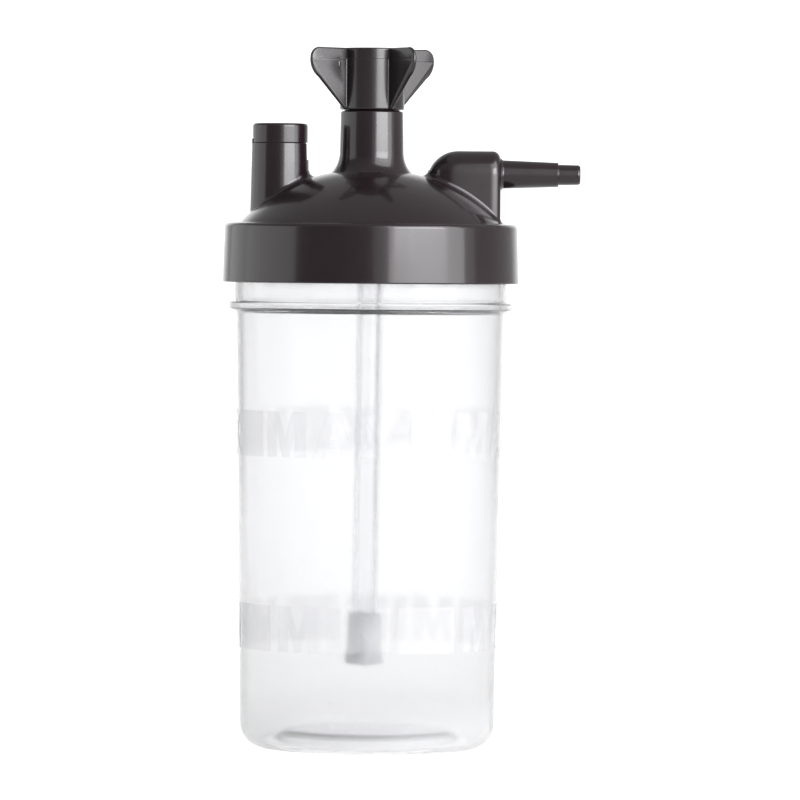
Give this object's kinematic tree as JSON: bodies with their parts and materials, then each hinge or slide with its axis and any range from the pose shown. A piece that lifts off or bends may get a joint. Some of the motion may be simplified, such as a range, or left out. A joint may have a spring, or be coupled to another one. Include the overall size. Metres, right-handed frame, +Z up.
{
  "type": "bubble humidifier bottle",
  "caption": "Clear tapered bottle with a dark domed screw lid carrying a winged inlet nut, a capped relief valve post, a side outlet nipple and a central dip tube with diffuser.",
  "frame": {"origin": "centre of the ring the bottle stands on, on the bottle's axis", "axes": "+Z up the bottle's axis towards the inlet nut, +X along the outlet nipple, away from the lid"},
  "size_m": [0.1009, 0.0836, 0.1979],
  "materials": {
    "lid_plastic": "gloss",
    "bottle_clear": "clear, slightly milky",
    "tube_clear": "clear",
    "diffuser_clear": "clear",
    "nut_plastic": "satin gloss",
    "nipple_plastic": "satin",
    "seal_rubber": "matt silicone",
    "spring_steel": "drawn wire"
  },
  "bodies": {
    "bottle": {"bottle": "bottle_clear"},
    "gasket": {"lid_gasket": "seal_rubber"},
    "lid": {"lid": "lid_plastic", "inlet_nipple": "nipple_plastic", "dip_tube": "tube_clear", "diffuser_sleeve": "diffuser_clear", "diffuser_foot": "diffuser_clear", "relief_cap": "lid_plastic", "relief_spring": "spring_steel"},
    "nut": {"wing_nut": "nut_plastic"},
    "valve": {"relief_poppet": "nipple_plastic", "relief_seal": "seal_rubber"}
  },
  "joints": [
    {"name": "lid_rise", "type": "slide", "parent": "bottle", "child": "gasket", "axis": [0, 0, 1], "range_m": [0, 0.006]},
    {"name": "lid_turn", "type": "hinge", "parent": "gasket", "child": "lid", "pos_m": [0, 0, 0.146], "axis": [0, 0, 1], "range_deg": [0, 540]},
    {"name": "nut_spin", "type": "hinge", "parent": "lid", "child": "nut", "pos_m": [0, 0, 0.182], "axis": [0, 0, 1], "continuous": true},
    {"name": "relief_lift", "type": "slide", "parent": "lid", "child": "valve", "axis": [0, 0, 1], "range_m": [0, 0.0015], "stiffness_N_per_m": 300, "springref_m": -0.002, "deforming": ["relief_spring"]}
  ],
  "couplings": [
    {"joint": "lid_rise", "follows": "lid_turn", "m_per_rad": 0.0006366}
  ]
}
